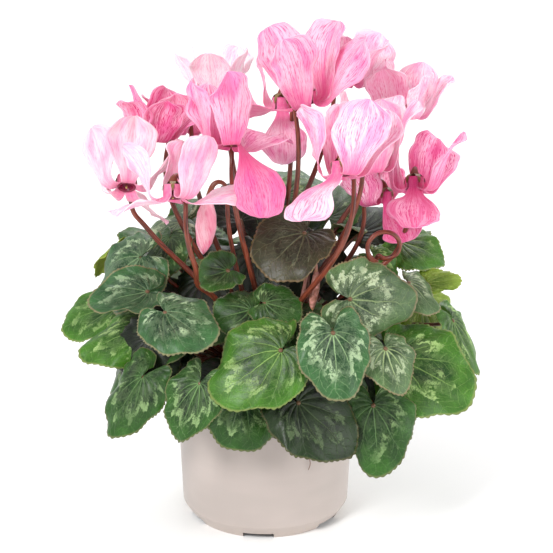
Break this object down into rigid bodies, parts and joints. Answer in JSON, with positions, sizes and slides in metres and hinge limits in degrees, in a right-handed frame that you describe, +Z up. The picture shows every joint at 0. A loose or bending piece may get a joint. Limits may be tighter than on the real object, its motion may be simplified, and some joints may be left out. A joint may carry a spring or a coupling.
{
  "type": "potted cyclamen",
  "caption": "Cyclamen in bloom: marbled heart-shaped leaves and reflexed pink flowers on red-brown stalks, rising from a tuber in a round tapered plastic pot.",
  "frame": {"origin": "middle of the flat pad under the pot's base, on the surface the pot stands on", "axes": "+Z up along the pot's axis; -Y towards the plant's fuller front; +X to the right seen from the front"},
  "size_m": [0.2847, 0.2591, 0.3326],
  "materials": {
    "pot_plastic": "satin, warm light grey",
    "soil_peat": "loose dark peat",
    "tuber_skin": "rough corky skin",
    "leaf_01": "living leaf, green with silver marbling, slightly waxy",
    "leaf_02": "living leaf, green with silver marbling, slightly waxy",
    "leaf_03": "living leaf, green with silver marbling, slightly waxy",
    "leaf_04": "living leaf, green with silver marbling, slightly waxy",
    "leaf_05": "living leaf, green with silver marbling, slightly waxy",
    "leaf_06": "living leaf, green with silver marbling, slightly waxy",
    "leaf_07": "living leaf, green with silver marbling, slightly waxy",
    "leaf_08": "living leaf, green with silver marbling, slightly waxy",
    "leaf_09": "living leaf, green with silver marbling, slightly waxy",
    "leaf_10": "living leaf, green with silver marbling, slightly waxy",
    "leaf_11": "living leaf, green with silver marbling, slightly waxy",
    "leaf_12": "living leaf, green with silver marbling, slightly waxy",
    "leaf_13": "living leaf, green with silver marbling, slightly waxy",
    "leaf_14": "living leaf, green with silver marbling, slightly waxy",
    "leaf_15": "living leaf, green with silver marbling, slightly waxy",
    "leaf_16": "living leaf, green with silver marbling, slightly waxy",
    "leaf_17": "living leaf, green with silver marbling, slightly waxy",
    "leaf_18": "living leaf, green with silver marbling, slightly waxy",
    "leaf_19": "living leaf, green with silver marbling, slightly waxy",
    "leaf_20": "living leaf, green with silver marbling, slightly waxy",
    "leaf_21": "living leaf, green with silver marbling, slightly waxy",
    "leaf_22": "living leaf, green with silver marbling, slightly waxy",
    "leaf_23": "living leaf, green with silver marbling, slightly waxy",
    "leaf_24": "living leaf, green with silver marbling, slightly waxy",
    "leaf_25": "living leaf, green with silver marbling, slightly waxy",
    "leaf_26": "living leaf, green with silver marbling, slightly waxy",
    "leaf_27": "living leaf, green with silver marbling, slightly waxy",
    "flower_stalk_01": "living stem, red-brown, smooth",
    "flower_stalk_02": "living stem, red-brown, smooth",
    "flower_stalk_03": "living stem, red-brown, smooth",
    "flower_stalk_04": "living stem, red-brown, smooth",
    "flower_stalk_05": "living stem, red-brown, smooth",
    "flower_stalk_06": "living stem, red-brown, smooth",
    "flower_stalk_07": "living stem, red-brown, smooth",
    "flower_stalk_08": "living stem, red-brown, smooth",
    "flower_stalk_09": "living stem, red-brown, smooth",
    "flower_stalk_10": "living stem, red-brown, smooth",
    "flower_stalk_11": "living stem, red-brown, smooth",
    "flower_stalk_12": "living stem, red-brown, smooth",
    "flower_stalk_13": "living stem, red-brown, smooth",
    "flower_stalk_14": "living stem, red-brown, smooth",
    "corolla_01": "living petals, pink, soft and satiny",
    "corolla_02": "living petals, pink, soft and satiny",
    "corolla_03": "living petals, pink, soft and satiny",
    "corolla_04": "living petals, pink, soft and satiny",
    "corolla_05": "living petals, pink, soft and satiny",
    "corolla_06": "living petals, pink, soft and satiny",
    "corolla_07": "living petals, pink, soft and satiny",
    "corolla_08": "living petals, pink, soft and satiny",
    "corolla_09": "living petals, pink, soft and satiny",
    "corolla_10": "living petals, pink, soft and satiny",
    "corolla_11": "living petals, pink, soft and satiny",
    "corolla_12": "living petals, pink, soft and satiny",
    "corolla_13": "living petals, pink, soft and satiny",
    "corolla_14": "living petals, pink, soft and satiny",
    "bud_01": "living bud, pink, satiny"
  },
  "bodies": {
    "root": {"pot": "pot_plastic", "potting_soil": "soil_peat", "tuber": "tuber_skin", "leaf_01": "leaf_01", "leaf_02": "leaf_02", "leaf_03": "leaf_03", "leaf_04": "leaf_04", "leaf_05": "leaf_05", "leaf_06": "leaf_06", "leaf_07": "leaf_07", "leaf_08": "leaf_08", "leaf_09": "leaf_09", "leaf_10": "leaf_10", "leaf_11": "leaf_11", "leaf_12": "leaf_12", "leaf_13": "leaf_13", "leaf_14": "leaf_14", "leaf_15": "leaf_15", "leaf_16": "leaf_16", "leaf_17": "leaf_17", "leaf_18": "leaf_18", "leaf_19": "leaf_19", "leaf_20": "leaf_20", "leaf_21": "leaf_21", "leaf_22": "leaf_22", "leaf_23": "leaf_23", "leaf_24": "leaf_24", "leaf_25": "leaf_25", "leaf_26": "leaf_26", "leaf_27": "leaf_27", "flower_stalk_01": "flower_stalk_01", "flower_stalk_02": "flower_stalk_02", "flower_stalk_03": "flower_stalk_03", "flower_stalk_04": "flower_stalk_04", "flower_stalk_05": "flower_stalk_05", "flower_stalk_06": "flower_stalk_06", "flower_stalk_07": "flower_stalk_07", "flower_stalk_08": "flower_stalk_08", "flower_stalk_09": "flower_stalk_09", "flower_stalk_10": "flower_stalk_10", "flower_stalk_11": "flower_stalk_11", "flower_stalk_12": "flower_stalk_12", "flower_stalk_13": "flower_stalk_13", "flower_stalk_14": "flower_stalk_14", "corolla_01": "corolla_01", "corolla_02": "corolla_02", "corolla_03": "corolla_03", "corolla_04": "corolla_04", "corolla_05": "corolla_05", "corolla_06": "corolla_06", "corolla_07": "corolla_07", "corolla_08": "corolla_08", "corolla_09": "corolla_09", "corolla_10": "corolla_10", "corolla_11": "corolla_11", "corolla_12": "corolla_12", "corolla_13": "corolla_13", "corolla_14": "corolla_14", "bud_01": "bud_01"}
  },
  "joints": []
}
